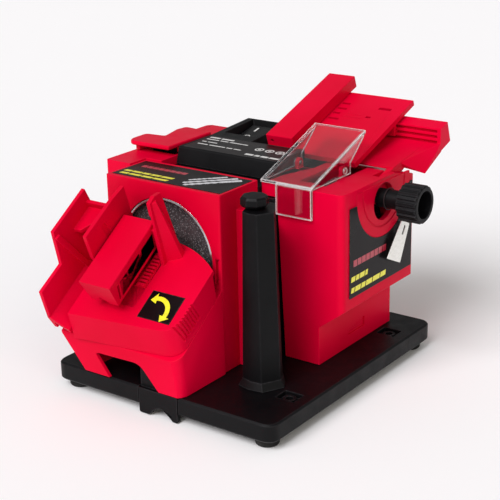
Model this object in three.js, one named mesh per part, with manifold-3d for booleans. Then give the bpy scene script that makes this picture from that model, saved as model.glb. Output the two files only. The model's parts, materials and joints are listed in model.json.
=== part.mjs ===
// A bench sharpening machine: a drill-bit station in front, a chisel and plane-iron station on the
// right and a knife station on the left, all round one motor housing on a flat base plate.
//
// Millimetres. +X points right and +Y points back, seen from the drill station; +Z is up.
// The origin is the centre of the base's underside. The feet reach below it.

import * as THREE from "three";
import { ConvexGeometry } from "three/addons/geometries/ConvexGeometry.js";
import { mergeVertices } from "three/addons/utils/BufferGeometryUtils.js";
import Module from "manifold-3d";

const wasm = await Module();
wasm.setup();

// ---------------------------------------------------------------- driving dimensions

const GAP = 0.3; // clearance between pieces that touch
const SKIN = 3; // wall of the moulded shells

const BASE_X = 92; // half the base plate's width
const BASE_Y = 103; // half its depth
const BASE_TOP = 13;
const FOOT_HEIGHT = 6;
const ON_BASE = BASE_TOP + GAP;

const AXIS_Z = 89; // height of the motor shaft and of the drill spindle
const SHAFT_Y = 37.5; // the motor shaft runs along X here
const SPINDLE_X = -29; // the drill spindle runs along Y here
const SHAFT_RADIUS = 4;

const DRILL_LEFT = -78;
const DRILL_RIGHT = 20;
const DRILL_FACE = -56; // the drill housing's front face
const DRILL_TOP = 139;
const DRILL_BACK = -13;
const DRILL_WHEEL_RADIUS = 40;
const DRILL_WHEEL_FACE = -48;

const HEAD_TILT = 35; // slope of the drill head, in degrees
const HEAD_ORIGIN = [SPINDLE_X, -105, 63]; // middle of the head's front top edge
const HEAD_DEPTH = 19;
const HEAD_HALF_WIDTH = 49.5;
const HEAD_LEFT = -38.3;
const HEAD_REAR = 64;
const HEAD_PIVOT_V = -2; // the swing axis, up the slope from the head's origin

const CORE_LEFT = -99; // the motor housing
const CORE_RIGHT = 32.5;
const CORE_FRONT = DRILL_BACK + GAP;
const CORE_BACK = 93;
const CORE_TOP = 134;
const SHOULDER_FRONT = -29;
const SHOULDER_TOP = 123.5;
const CONSOLE = { left: -64, right: 19.8, front: 3.5, top: 146.5 };
const CONSOLE_RELIEF = { left: -27, front: 44, floor: 136.3 }; // room for the guide plate

const CHISEL_LEFT = 33;
const CHISEL_RIGHT = 84.6;
const CHISEL_FRONT = -9.4;
const CHISEL_BACK = 86;
const CHISEL_TOP = 137;
const CHISEL_FOOT_RIGHT = 66;
const CHISEL_WHEEL_X = 53;
const CHISEL_WHEEL_RADIUS = 43;

const GUARD_HINGE = [30.3, 141]; // Y and Z of the clear guard's hinge
const PIVOT = [43, 122.5]; // Y and Z of the knob's axis, about which the guide arm tilts
const GUIDE_SLOPE = 19.2; // slope of the chisel plate at rest, in degrees
const PLATE_RIGHT = 58;
const PLATE_LEFT = -17.5;
const PLATE_FRONT = [48.8, 141.7]; // Y and Z of the plate's front top edge
const PLATE_LENGTH = 85.5;
const PLATE_THICKNESS = 4;
const FENCE_WIDTH = 22.5;
const FENCE_LENGTH = 90;
const FENCE_HEIGHT = 9.6;
const RAIL_RIGHT = 91;
const BED_RIGHT = 80.5;

const KNIFE_WHEEL_X = -80;
const KNIFE_WHEEL_RADIUS = 35;
const KNIFE_DECK = 140;

// ---------------------------------------------------------------- materials

const finishes = {
  red: { color: 0xd60024, roughness: 0.4, metalness: 0 },
  black: { color: 0x1c1c1e, roughness: 0.6, metalness: 0 },
  rubber: { color: 0x101010, roughness: 0.9, metalness: 0 },
  label: { color: 0x161414, roughness: 0.35, metalness: 0 },
  paper: { color: 0xf2f2f0, roughness: 0.7, metalness: 0 },
  clear: { color: 0xdfe6ea, roughness: 0.05, metalness: 0, transparent: true, opacity: 0.3 },
  abrasive: { color: 0x4a4648, roughness: 0.95, metalness: 0 },
  steel: { color: 0xb4b6ba, roughness: 0.3, metalness: 1 },
  brass: { color: 0xb08d3c, roughness: 0.4, metalness: 1 },
  iron: { color: 0x5a5c60, roughness: 0.6, metalness: 1 },
};

// ---------------------------------------------------------------- solids

const radians = THREE.MathUtils.degToRad;

// Turns a closed geometry into a solid that can be joined and cut.
function solid(geometry) {
  const bare = geometry.clone();
  bare.deleteAttribute("normal");
  bare.deleteAttribute("uv");
  const merged = mergeVertices(bare, 1e-4);
  const corners = merged.index.array;
  const kept = [];
  for (let i = 0; i < corners.length; i += 3) {
    const [a, b, c] = [corners[i], corners[i + 1], corners[i + 2]];
    if (a !== b && b !== c && c !== a) {
      kept.push(a, b, c);
    }
  }
  return new wasm.Manifold(
    new wasm.Mesh({
      numProp: 3,
      vertProperties: new Float32Array(merged.attributes.position.array),
      triVerts: new Uint32Array(kept),
    }),
  );
}

const join = (first, ...rest) => rest.reduce((whole, piece) => whole.add(piece), first);
const cut = (first, ...rest) => rest.reduce((whole, piece) => whole.subtract(piece), first);

function box([x0, x1], [y0, y1], [z0, z1]) {
  const geometry = new THREE.BoxGeometry(x1 - x0, y1 - y0, z1 - z0);
  return solid(geometry.translate((x0 + x1) / 2, (y0 + y1) / 2, (z0 + z1) / 2));
}

// A closed outline through the points. A point's third number rounds its corner.
function outline(points) {
  const shape = new THREE.Shape();
  const count = points.length;
  points.forEach(([x, y, round = 0], i) => {
    const corner = new THREE.Vector2(x, y);
    const before = new THREE.Vector2(...points[(i + count - 1) % count].slice(0, 2)).sub(corner);
    const after = new THREE.Vector2(...points[(i + 1) % count].slice(0, 2)).sub(corner);
    const start = corner.clone().add(before.setLength(round));
    const end = corner.clone().add(after.setLength(round));
    if (i === 0) {
      shape.moveTo(start.x, start.y);
    } else {
      shape.lineTo(start.x, start.y);
    }
    if (round > 0) {
      shape.quadraticCurveTo(x, y, end.x, end.y);
    }
  });
  shape.closePath();
  return shape;
}

const AXES = {
  // The outline's two directions and the direction that it is pulled along.
  x: [new THREE.Vector3(0, 1, 0), new THREE.Vector3(0, 0, 1), new THREE.Vector3(1, 0, 0)],
  y: [new THREE.Vector3(1, 0, 0), new THREE.Vector3(0, 0, 1), new THREE.Vector3(0, -1, 0)],
  z: [new THREE.Vector3(1, 0, 0), new THREE.Vector3(0, 1, 0), new THREE.Vector3(0, 0, 1)],
};

// An outline pulled along an axis from one place to another: (Y, Z) points along x, (X, Z) points
// along y and (X, Y) points along z.
function prism(axis, shape, [from, to], bevel = 0) {
  const geometry = new THREE.ExtrudeGeometry(shape, {
    depth: to - from - 2 * bevel,
    curveSegments: 5,
    bevelEnabled: bevel > 0,
    bevelThickness: bevel,
    bevelSize: bevel,
    bevelOffset: -bevel,
    bevelSegments: 1,
  });
  geometry.translate(0, 0, bevel);
  geometry.applyMatrix4(new THREE.Matrix4().makeBasis(...AXES[axis]));
  const start = new THREE.Vector3();
  start[axis] = axis === "y" ? to : from;
  return solid(geometry.translate(start.x, start.y, start.z));
}

const rectangle = ([a0, a1], [b0, b1], round = 0) =>
  outline([[a0, b0, round], [a1, b0, round], [a1, b1, round], [a0, b1, round]]);

// A solid with flat sides between a low outline's points and a high one's.
function tapered(low, high, [from, to]) {
  const corners = [
    ...low.map(([x, y]) => new THREE.Vector3(x, y, from)),
    ...high.map(([x, y]) => new THREE.Vector3(x, y, to)),
  ];
  return solid(new ConvexGeometry(corners));
}

// A rounded bar or disc along an axis. The centre gives the two other coordinates.
function rod(axis, [a, b], radius, [from, to], sides = 24) {
  const geometry = new THREE.CylinderGeometry(radius, radius, to - from, sides);
  geometry.rotateX(Math.PI / 2);
  geometry.translate(0, 0, (to - from) / 2);
  geometry.applyMatrix4(new THREE.Matrix4().makeBasis(...AXES[axis]));
  const middle = { x: [from, a, b], y: [a, to, b], z: [a, b, from] }[axis];
  return solid(geometry.translate(...middle));
}

// A turned piece: [radius, distance] points round a closed section, turned about an axis that
// starts at a point. The distance runs along +x, -y or +z.
function turned(axis, start, section, sides = 32) {
  const points = section.map(([r, h]) => new THREE.Vector2(r, h));
  const twiceArea = points.reduce((sum, p, i) => {
    const q = points[(i + 1) % points.length];
    return sum + p.x * q.y - q.x * p.y;
  }, 0);
  if (twiceArea < 0) {
    points.reverse();
  }
  if (points[0].x > 0) {
    points.push(points[0].clone());
  }
  const geometry = new THREE.LatheGeometry(points, sides);
  geometry.rotateX(Math.PI / 2);
  geometry.applyMatrix4(new THREE.Matrix4().makeBasis(...AXES[axis]));
  return solid(geometry.translate(...start));
}

const object = new THREE.Group();
const names = new Set();

// Adds one named piece to a group.
function add(name, shape, finish, parent = object) {
  if (names.has(name)) {
    throw new Error(`two pieces are called ${name}`);
  }
  names.add(name);
  const { vertProperties, triVerts } = shape.getMesh();
  const geometry = new THREE.BufferGeometry();
  geometry.setAttribute("position", new THREE.BufferAttribute(vertProperties, 3));
  geometry.setIndex(new THREE.BufferAttribute(triVerts, 1));
  geometry.computeVertexNormals();
  const mesh = new THREE.Mesh(geometry, new THREE.MeshStandardMaterial(finishes[finish]));
  mesh.name = name;
  parent.add(mesh);
  return mesh;
}

// ---------------------------------------------------------------- base

const FOOT_X = 80;
const FOOT_Y = 91;
const CORNERS = [["front_left", -1, -1], ["front_right", 1, -1], ["rear_left", -1, 1], ["rear_right", 1, 1]];

function makeBase() {
  const rim = 14;
  const coverLip = 3;
  const coverThickness = 2;
  const latchSlot = [-16.8, 17];
  const plate = prism("z", rectangle([-BASE_X, BASE_X], [-BASE_Y, BASE_Y], 9), [0, BASE_TOP], 1.2);
  const cavity = box([-BASE_X + rim, BASE_X - rim], [-BASE_Y + rim, BASE_Y - rim], [-1, BASE_TOP - SKIN]);
  const rebate = box(
    [-BASE_X + rim - coverLip, BASE_X - rim + coverLip],
    [-BASE_Y + rim - coverLip, BASE_Y - rim + coverLip],
    [-1, coverThickness + GAP],
  );
  const notch = box(latchSlot, [-BASE_Y - 1, -BASE_Y + 10], [-1, BASE_TOP + 1]);
  let base = cut(plate, cavity, rebate, notch);
  // Shallow pockets with a bossed hole through, for screwing the machine to a bench.
  for (const side of [-1, 1]) {
    for (const [y, half] of [[68, 6], [-60, 6]]) {
      const x = side * 76;
      const well = box([x - 9, x + 9], [y - 9, y + 9], [0, BASE_TOP - 1]);
      const pocket = box([x - 7, x + 7], [y - half, y + half], [BASE_TOP - 3.4, BASE_TOP + 1]);
      const collar = rod("z", [x, y], 4.6, [BASE_TOP - 4, BASE_TOP - 1.2], 16);
      base = cut(join(cut(join(base, well), pocket), collar), rod("z", [x, y], 2.6, [-1, BASE_TOP]));
    }
  }
  for (const [, sx, sy] of CORNERS) {
    base = cut(base, rod("z", [sx * FOOT_X, sy * FOOT_Y], 3.3, [-1, 6], 16));
  }
  add("base_plate", base, "black");

  let cover = prism(
    "z",
    rectangle(
      [-BASE_X + rim - coverLip + GAP, BASE_X - rim + coverLip - GAP],
      [-BASE_Y + rim - coverLip + GAP, BASE_Y - rim + coverLip - GAP],
      2,
    ),
    [0, coverThickness],
  );
  for (const [, sx, sy] of CORNERS) {
    cover = cut(cover, rod("z", [sx * 76, sy > 0 ? 68 : -60], 3.6, [-1, 3], 16));
    cover = cut(cover, box([sx * 76 - 9.4, sx * 76 + 9.4], sy > 0 ? [58.6, 77.4] : [-69.4, -50.6], [-1, 3]));
    cover = cut(cover, rod("z", [sx * FOOT_X, sy * FOOT_Y], 9, [-1, 3], 20));
  }
  add("bottom_cover", cover, "iron");

  for (const [place, sx, sy] of CORNERS) {
    const section = [
      [0, -FOOT_HEIGHT], [7, -FOOT_HEIGHT], [8, -FOOT_HEIGHT + 1], [8.5, -GAP], [3, -GAP], [3, 5],
      [0, 5],
    ];
    add(`foot_${place}`, turned("z", [sx * FOOT_X, sy * FOOT_Y, 0], section, 20), "rubber");
  }
}

// A lever in the front notch of the base. Its toe has a half-round finger notch.
function makeReleaseLever() {
  const toe = -FOOT_HEIGHT + 0.6;
  const top = 25;
  const [left, right] = [-16.2, 16.4];
  const face = outline([
    [left, toe, 1.5], [-7.5, toe, 1], [-3.5, toe + 5, 3], [3, toe + 7.5, 4], [8.5, toe + 5, 3],
    [12, toe - 0.2, 1], [right, toe - 0.2, 1], [right, 12.6], [left, 12.6],
  ]);
  const plate = prism("y", face, [-103.2, -99.6]);
  const upper = box([left, right], [-100.4, -97.4], [10, top]);
  const crown = box([left, right], [-100.4, -92], [top - 3.5, top]);
  const ribs = [-12, 3, 13].map((x) => box([x - 1.2, x + 1.2], [-99, -92], [ON_BASE + 1, top]));
  const hub = rod("x", [-89.5, top - 3], 3, [left, right], 16);
  const web = box([left, right], [-93, -89.5], [top - 4.5, top - 1.5]);
  const pinHole = rod("x", [-89.5, top - 3], 1.8, [-20, 30], 12);
  add("release_lever", cut(join(plate, upper, crown, ...ribs, hub, web), pinHole), "black");
  add("release_lever_pin", rod("x", [-89.5, top - 3], 1.5, [-19.6, 19.2], 12), "steel");
}

// ---------------------------------------------------------------- motor housing

const OVERHANG = { left: 20.1, back: 34, low: 127.8 }; // the chisel housing's ledge over the motor

// A moulded shell with an open underside.
function shell(outer, inner, [low, high]) {
  return cut(prism("z", outer, [low, high]), prism("z", inner, [low - 1, high - SKIN]));
}

// An upright wall inside, from the base to the roof, that carries a bearing.
function bearingWall(axis, centre, top, along) {
  const reach = [centre - 16, centre + 16];
  const wall = axis === "x" ? box(along, reach, [ON_BASE, top]) : box(reach, along, [ON_BASE, top]);
  return cut(wall, rod(axis, [centre, AXIS_Z], 11.3, [along[0] - 1, along[1] + 1]));
}

function makeMotorHousing() {
  const gapLeft = DRILL_LEFT - GAP;
  const shoulder = shell(
    outline([
      [CORE_LEFT, SHOULDER_FRONT, 3], [gapLeft, SHOULDER_FRONT], [gapLeft, CORE_FRONT],
      [CONSOLE.left + 3, CORE_FRONT], [CONSOLE.left + 3, CORE_BACK], [CORE_LEFT, CORE_BACK, 4],
    ]),
    outline([
      [CORE_LEFT + SKIN, SHOULDER_FRONT + SKIN], [gapLeft - SKIN, SHOULDER_FRONT + SKIN],
      [gapLeft - SKIN, CORE_FRONT + SKIN], [CONSOLE.left + 3, CORE_FRONT + SKIN],
      [CONSOLE.left + 3, CORE_BACK - SKIN], [CORE_LEFT + SKIN, CORE_BACK - SKIN],
    ]),
    [ON_BASE, SHOULDER_TOP],
  );
  const block = shell(
    rectangle([CONSOLE.left, CORE_RIGHT], [CORE_FRONT, CORE_BACK], 2),
    rectangle([CONSOLE.left + SKIN, CORE_RIGHT - SKIN], [CORE_FRONT + SKIN, CORE_BACK - SKIN]),
    [ON_BASE, CORE_TOP],
  );
  const passage = box(
    [CONSOLE.left - 4, CONSOLE.left + SKIN + 1],
    [CORE_FRONT + SKIN, CORE_BACK - SKIN],
    [ON_BASE - 1, SHOULDER_TOP - SKIN],
  );
  // The tall column in front of the chisel station, wider at its foot, with a web behind it.
  const columnTop = [
    [42.5, -62], [48.3, -64], [54.6, -63.4], [60.9, -53.2], [58.4, -48.2], [50, -36], [38, -36],
    [38, -50],
  ];
  const columnFoot = [
    [40.6, -63.2], [48.5, -65.4], [57, -64.6], [63.6, -52], [61.2, -46], [51, -34], [37, -34],
    [36.4, -50.6],
  ];
  const flare = [
    [38.5, -65.5], [48.5, -68], [59, -66.5], [66.5, -52], [62, -44], [46, -26], [35, -22], [34, -50],
  ];
  const web = outline([[39, -37], [51, -37], [46, -30], [34, -14], [30, -14], [30, -20]]);
  const core = outline([[45.5, -59], [49.5, -60], [53, -59], [56.3, -51.8], [49, -39.5], [41.5, -39.5]]);
  const tower = cut(
    join(
      tapered(columnFoot, columnTop, [ON_BASE, CORE_TOP]),
      tapered(flare, columnFoot, [ON_BASE, ON_BASE + 5]),
      prism("z", web, [ON_BASE, CORE_TOP - 22]),
      box([29, 34], [-20, CORE_FRONT + 1], [ON_BASE, CORE_TOP - 22]),
    ),
    prism("z", core, [ON_BASE - 1, CORE_TOP - SKIN]),
  );
  const walls = [
    bearingWall("x", SHAFT_Y, CORE_TOP - 1, [-54, -47]),
    bearingWall("y", SPINDLE_X, CORE_TOP - 1, [10, 16]),
  ];
  const openings = [
    rod("y", [SPINDLE_X, AXIS_Z], 12.5, [CORE_FRONT - 1, CORE_FRONT + SKIN + 1]),
    rod("x", [SHAFT_Y, AXIS_Z], 12.5, [CORE_RIGHT - SKIN - 1, CORE_RIGHT + 1]),
    box(
      [KNIFE_WHEEL_X - 8, KNIFE_WHEEL_X + 8], [SHAFT_Y - 38, SHAFT_Y + 38],
      [SHOULDER_TOP - 5, SHOULDER_TOP + 1],
    ),
    box(
      [OVERHANG.left - GAP, CORE_RIGHT + 1], [CORE_FRONT - 1, OVERHANG.back + GAP],
      [OVERHANG.low - GAP, CORE_TOP + 1],
    ),
    rod("y", [-10, 36], 8.3, [CORE_BACK - SKIN - 1, CORE_BACK + 1]),
  ];
  for (let i = 0; i < 6; i += 1) {
    const x = -48 + i * 13;
    openings.push(box([x, x + 4], [CORE_BACK - SKIN - 1, CORE_BACK + 1], [74, 106]));
  }
  const hollow = cut(join(shoulder, block), passage);
  add("motor_housing", cut(join(hollow, tower, ...walls), ...openings), "black");

  const cap = [[0, 0], [6.6, 0], [8.4, 1], [9.4, 2.6], [9.4, 6.4], [8.2, 8], [0, 8.3]];
  add("column_cap", turned("z", [44.6, -51.4, CORE_TOP + GAP], cap, 8), "black");

  // The cord's inlet at the back: a collar that sits in the housing's hole.
  const collar = [[4.2, 3], [7.9, 3], [7.9, -GAP], [11, -GAP], [11, -3], [8, -3], [6.5, -13], [4.2, -13]];
  add("cord_inlet", turned("y", [-10, CORE_BACK, 36], collar, 24), "rubber");
}

// ---------------------------------------------------------------- console with the switch

function makeConsole() {
  const base = CORE_TOP + GAP;
  const { left, right, front, top } = CONSOLE;
  const side = outline([
    [front, base], [front + 3.5, top, 1.5], [46, top], [CORE_BACK, top + 3, 2], [CORE_BACK, base],
  ]);
  const labelRecess = box([left + 2, right - 2], [front + 5, 43], [top - 1.2, top + 1]);
  const relief = box(
    [CONSOLE_RELIEF.left, right + 1],
    [CONSOLE_RELIEF.front, CORE_BACK + 1],
    [CONSOLE_RELIEF.floor, top + 5],
  );
  const [x0, x1, y0, y1] = [-59, -29.5, 54, 91];
  const bezelCorners = [];
  for (const [x, y] of [[x0, y0], [x1, y0], [x1, y1], [x0, y1]]) {
    bezelCorners.push(new THREE.Vector3(x, y, top + (y - y0) * 0.07 + 1.2));
    const inwardX = ((x0 + x1) / 2 - x) * 0.2;
    const inwardY = ((y0 + y1) / 2 - y) * 0.14;
    bezelCorners.push(new THREE.Vector3(x + inwardX, y + inwardY, top - 6));
  }
  const bezel = solid(new ConvexGeometry(bezelCorners));
  const well = box([-55.9, -32.6], [57.2, 87.8], [base - 1, top + 2]);
  const slab = prism("x", side, [left, right]);
  add("console_panel", cut(slab, labelRecess, relief, bezel, well), "black");
  add("rating_plate", box([left + 2.3, right - 2.3], [front + 5.3, 42.7], [top - 0.9, top - 0.1]), "label");

  // The rocker, pressed down at its front end.
  const rocker = outline([
    [58.7, top - 5, 0.6], [72.5, top - 3.4], [86.3, top - 0.4, 0.6],
    [85, base + 4.4, 1], [72.5, base + 0.8, 2], [60, base + 1.6, 1],
  ]);
  add("power_switch", prism("x", rocker, [-55.4, -33.1]), "black");
}

// ---------------------------------------------------------------- drive

const GEAR_TEETH = 12;
const GEAR_PITCH = 12; // pitch radius of both bevel gears, and the distance from their shared apex

// A bevel gear about +Z with its apex at the origin. A turn of half a tooth puts it in mesh.
function bevelGear(turn) {
  const slope = Math.SQRT1_2;
  const point = (scale, height) => [
    GEAR_PITCH * scale + height * slope * scale,
    GEAR_PITCH * scale - height * slope * scale,
  ];
  const root = -1.5;
  const tip = 0.9;
  const [rootRadius, rootPlace] = point(1, root);
  const [smallRadius, smallPlace] = point(0.5, root);
  const bore = SHAFT_RADIUS + GAP;
  const section = [
    [bore, smallPlace], [smallRadius, smallPlace], [rootRadius, rootPlace], [7.5, rootPlace + 2.6],
    [bore, rootPlace + 2.6],
  ];
  let gear = turned("z", [0, 0, 0], section, 36);
  for (let i = 0; i < GEAR_TEETH; i += 1) {
    const angle = turn + (i / GEAR_TEETH) * Math.PI * 2;
    const corners = [];
    for (const scale of [1, 0.5]) {
      for (const [height, half] of [[root - 0.4, 1.25], [tip, 0.7]]) {
        const [radius, place] = point(scale, height);
        for (const side of [-1, 1]) {
          const corner = new THREE.Vector3(radius, side * half * scale, place);
          corners.push(corner.applyAxisAngle(new THREE.Vector3(0, 0, 1), angle));
        }
      }
    }
    gear = join(gear, solid(new ConvexGeometry(corners)));
  }
  return gear;
}

// A bearing: a ring with a groove between its races on each side.
function bearing(axis, start, outer, width) {
  const inner = SHAFT_RADIUS + GAP;
  const land = (outer - inner) * 0.3;
  const section = [
    [inner, 0], [inner + land, 0], [inner + land, 0.8], [outer - land, 0.8], [outer - land, 0], [outer, 0],
    [outer, width], [outer - land, width], [outer - land, width - 0.8], [inner + land, width - 0.8],
    [inner + land, width], [inner, width],
  ];
  return turned(axis, start, section, 24);
}

// A grinding wheel with a sunk boss on its outer side.
function grindingWheel(axis, start, radius, width, sink) {
  const bore = SHAFT_RADIUS + GAP;
  const section = [
    [bore, 0], [radius - 0.8, 0], [radius, 0.8], [radius, width - 0.8], [radius - 0.8, width],
    [15, width], [14, width - sink], [bore, width - sink],
  ];
  return turned(axis, start, section, 56);
}

function hexNut(axis, start, acrossFlats, length) {
  const radius = acrossFlats / Math.sqrt(3);
  const bore = SHAFT_RADIUS + GAP;
  const hexagon = turned(axis, start, [[0, 0], [radius, 0], [radius, length], [0, length]], 6);
  return cut(hexagon, turned(axis, start, [[0, -1], [bore, -1], [bore, length + 1], [0, length + 1]], 24));
}

function makeDrive() {
  add("motor_shaft", rod("x", [SHAFT_Y, AXIS_Z], SHAFT_RADIUS, [-92, 72]), "steel");
  const can = [[9, 0], [31, 0], [31, 33], [9, 33], [9, 30.5], [28.5, 30.5], [28.5, 2.5], [9, 2.5]];
  add("motor_can", turned("x", [-7, SHAFT_Y, AXIS_Z], can, 40), "iron");
  const rotor = [[4.3, 4], [9, 4], [12, 7], [25.5, 7], [25.5, 26], [12, 26], [9, 29], [4.3, 29]];
  add("motor_rotor", turned("x", [-7, SHAFT_Y, AXIS_Z], rotor, 32), "brass");
  let fan = turned(
    "x",
    [-12.6, SHAFT_Y, AXIS_Z],
    [[4.3, 0], [8, 0], [8, 3.4], [26, 3.4], [26, 4.6], [4.3, 4.6]],
    32,
  );
  for (let i = 0; i < 8; i += 1) {
    const blade = box([-12.4, -8.4], [7, 25.5], [-0.6, 0.6]).rotate([i * 45, 0, 0]);
    fan = join(fan, blade.translate([0, SHAFT_Y, AXIS_Z]));
  }
  add("cooling_fan", fan, "black");
  // The shaft's gear points along +X and the spindle's gear points along -Y from the shared apex.
  const driveGear = bevelGear(-Math.PI / 2).rotate([0, 90, 0]).rotate([90, 0, 0]);
  add("drive_bevel_gear", driveGear.translate([SPINDLE_X, SHAFT_Y, AXIS_Z]), "brass");
  const spindleGear = bevelGear(Math.PI / GEAR_TEETH).rotate([90, 0, 0]);
  add("spindle_bevel_gear", spindleGear.translate([SPINDLE_X, SHAFT_Y, AXIS_Z]), "brass");
  add("shaft_bearing_left", bearing("x", [-53.5, SHAFT_Y, AXIS_Z], 11, 6), "steel");
  add("shaft_bearing_right", bearing("x", [26.9, SHAFT_Y, AXIS_Z], 12.2, 5.4), "steel");
  add("drill_spindle", rod("y", [SPINDLE_X, AXIS_Z], SHAFT_RADIUS, [-49, SHAFT_Y - 6]), "steel");
  add("spindle_bearing_front", bearing("y", [SPINDLE_X, -7, AXIS_Z], 12.2, 5.4), "steel");
  add("spindle_bearing_rear", bearing("y", [SPINDLE_X, 15.6, AXIS_Z], 11, 5.2), "steel");
  const drillBack = DRILL_WHEEL_FACE + 10;
  add(
    "drill_wheel",
    grindingWheel("y", [SPINDLE_X, drillBack, AXIS_Z], DRILL_WHEEL_RADIUS, 10, 4),
    "abrasive",
  );
  add("drill_wheel_nut", hexNut("y", [SPINDLE_X, DRILL_WHEEL_FACE + 3.7, AXIS_Z], 15, 3.4), "steel");
  add(
    "chisel_wheel",
    grindingWheel("x", [CHISEL_WHEEL_X - 8, SHAFT_Y, AXIS_Z], CHISEL_WHEEL_RADIUS, 16, 4),
    "abrasive",
  );
  add("chisel_wheel_nut", hexNut("x", [CHISEL_WHEEL_X + 4.3, SHAFT_Y, AXIS_Z], 17, 5), "steel");
  const knifeWheel = grindingWheel("x", [0, 0, 0], KNIFE_WHEEL_RADIUS, 8, 3).rotate([0, 180, 0]);
  add("knife_wheel", knifeWheel.translate([KNIFE_WHEEL_X + 4, SHAFT_Y, AXIS_Z]), "abrasive");
  add("knife_wheel_nut", hexNut("x", [KNIFE_WHEEL_X - 5.4, SHAFT_Y, AXIS_Z], 15, 4), "steel");
}

// ---------------------------------------------------------------- drill station

const MOUTH_RADIUS = 39.7;

function makeDrillHousing() {
  const body = shell(
    rectangle([DRILL_LEFT, DRILL_RIGHT], [DRILL_FACE, DRILL_BACK], 1.5),
    rectangle([DRILL_LEFT + SKIN, DRILL_RIGHT - SKIN], [DRILL_FACE + SKIN, DRILL_BACK + 1]),
    [ON_BASE, DRILL_TOP],
  );
  const mouth = [
    [0, -9], [MOUTH_RADIUS, -9], [MOUTH_RADIUS, -2.5], [MOUTH_RADIUS + 7, 0], [MOUTH_RADIUS + 7, 1],
    [0, 1],
  ];
  const collar = [
    [MOUTH_RADIUS - 1, -7], [MOUTH_RADIUS + 3, -7], [MOUTH_RADIUS + 8, -2], [MOUTH_RADIUS - 1, -2],
  ];
  const labelRecess = box(
    [DRILL_LEFT + 2, DRILL_RIGHT - 2], [DRILL_FACE + 4, DRILL_BACK - 3], [DRILL_TOP - 1, DRILL_TOP + 1],
  );
  const sideSlot = box([14, 17.2], [DRILL_FACE - 1, DRILL_FACE + SKIN + 1], [77, 94]);
  const flange = box([DRILL_RIGHT - 1, 32], [-38, -31], [ON_BASE, 125]);
  const rim = turned("y", [SPINDLE_X, DRILL_FACE, AXIS_Z], collar, 56);
  const hole = turned("y", [SPINDLE_X, DRILL_FACE, AXIS_Z], mouth, 56);
  add("drill_housing", cut(join(body, rim, flange), hole, labelRecess, sideSlot), "red");
  const ring = [[37.6, 0], [MOUTH_RADIUS - GAP, 0], [MOUTH_RADIUS - GAP, 1.2], [38.2, 1.6], [37.6, 1.2]];
  add("opening_ring", turned("y", [SPINDLE_X, DRILL_FACE + 4.4, AXIS_Z], ring, 56), "steel");
  add(
    "drill_label",
    box(
      [DRILL_LEFT + 2.3, DRILL_RIGHT - 2.3], [DRILL_FACE + 4.3, DRILL_BACK - 3.3],
      [DRILL_TOP - 0.7, DRILL_TOP + 0.1],
    ),
    "label",
  );
}

// Y and Z of a place on the drill head's slope: distance up the slope and height off it.
function onSlope(up, off) {
  const angle = radians(HEAD_TILT);
  const y = HEAD_ORIGIN[1] + up * Math.cos(angle) - off * Math.sin(angle);
  const z = HEAD_ORIGIN[2] + up * Math.sin(angle) + off * Math.cos(angle);
  return [y, z];
}

// Places a solid made in the head's own directions into the base's directions.
const fromSlope = (shape) => shape.rotate([HEAD_TILT, 0, 0]).translate(HEAD_ORIGIN);

// The fixed lower front: two legs with an arch between them, closed by a sloping deck.
function makeDrillFront() {
  const under = -HEAD_DEPTH - GAP;
  const meetsHousing = DRILL_FACE - GAP;
  const slope = Math.tan(radians(HEAD_TILT));
  const [frontY, frontZ] = onSlope(-14, under);
  const topZ = frontZ + (meetsHousing - frontY) * slope;
  const side = (inset) =>
    outline([
      [-104 + inset, ON_BASE - (inset ? 1 : 0)], [frontY + inset, frontZ - inset * 0.6],
      [
        meetsHousing + (inset ? 1 : 0),
        topZ - inset * 1.1 + (inset ? slope : 0),
      ], [meetsHousing + (inset ? 1 : 0), ON_BASE - (inset ? 1 : 0)],
    ]);
  const face = (inset) =>
    outline([
      [-63 + inset, ON_BASE - (inset ? 1 : 0)], [-82 + inset, 37.5], [-82 + inset, 90],
      [DRILL_RIGHT - inset, 90], [DRILL_RIGHT + 1.5 - inset, ON_BASE - (inset ? 1 : 0)],
    ]);
  // The plan only rounds the right front corner.
  const plan = (inset) =>
    prism(
      "z",
      outline([
        [-90, -105.8 + inset], [DRILL_RIGHT + 1.6 - inset, -105.8 + inset, 11 - inset],
        [DRILL_RIGHT + 1.6 - inset, -40], [-90, -40],
      ]),
      [0, 120],
    );
  const outer = prism("x", side(0), [-90, 30]).intersect(prism("y", face(0), [-120, -50])).intersect(plan(0));
  const inner = prism("x", side(SKIN), [-90, 30]).intersect(prism(
    "y",
    face(SKIN),
    [-110, -50],
  )).intersect(plan(SKIN));
  const arch = outline([
    [-41, ON_BASE - 1], [-41, ON_BASE], [-52.6, 29.5, 4], [-13, 30.5, 6], [1.6, ON_BASE],
    [1.6, ON_BASE - 1],
  ]);
  const boss = fromSlope(rod("z", [0, HEAD_PIVOT_V], 8, [-42, -HEAD_DEPTH - 1]));
  const pinHole = fromSlope(rod("z", [0, HEAD_PIVOT_V], 4.35, [-40, -HEAD_DEPTH + 5]));
  const leverLug = box([-20.6, -16.6], [-94, -85], [17, 50]);
  const leverPin = rod("x", [-89.5, 22], 1.8, [-19.9, 19.6], 12);
  const within = prism("x", side(0), [-90, 30]);
  const shelled = cut(outer, inner, prism("y", arch, [-120, -97]));
  const fittings = join(boss, leverLug).intersect(within);
  add("drill_front", cut(join(shelled, fittings), pinHole, leverPin), "red");
}

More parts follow.
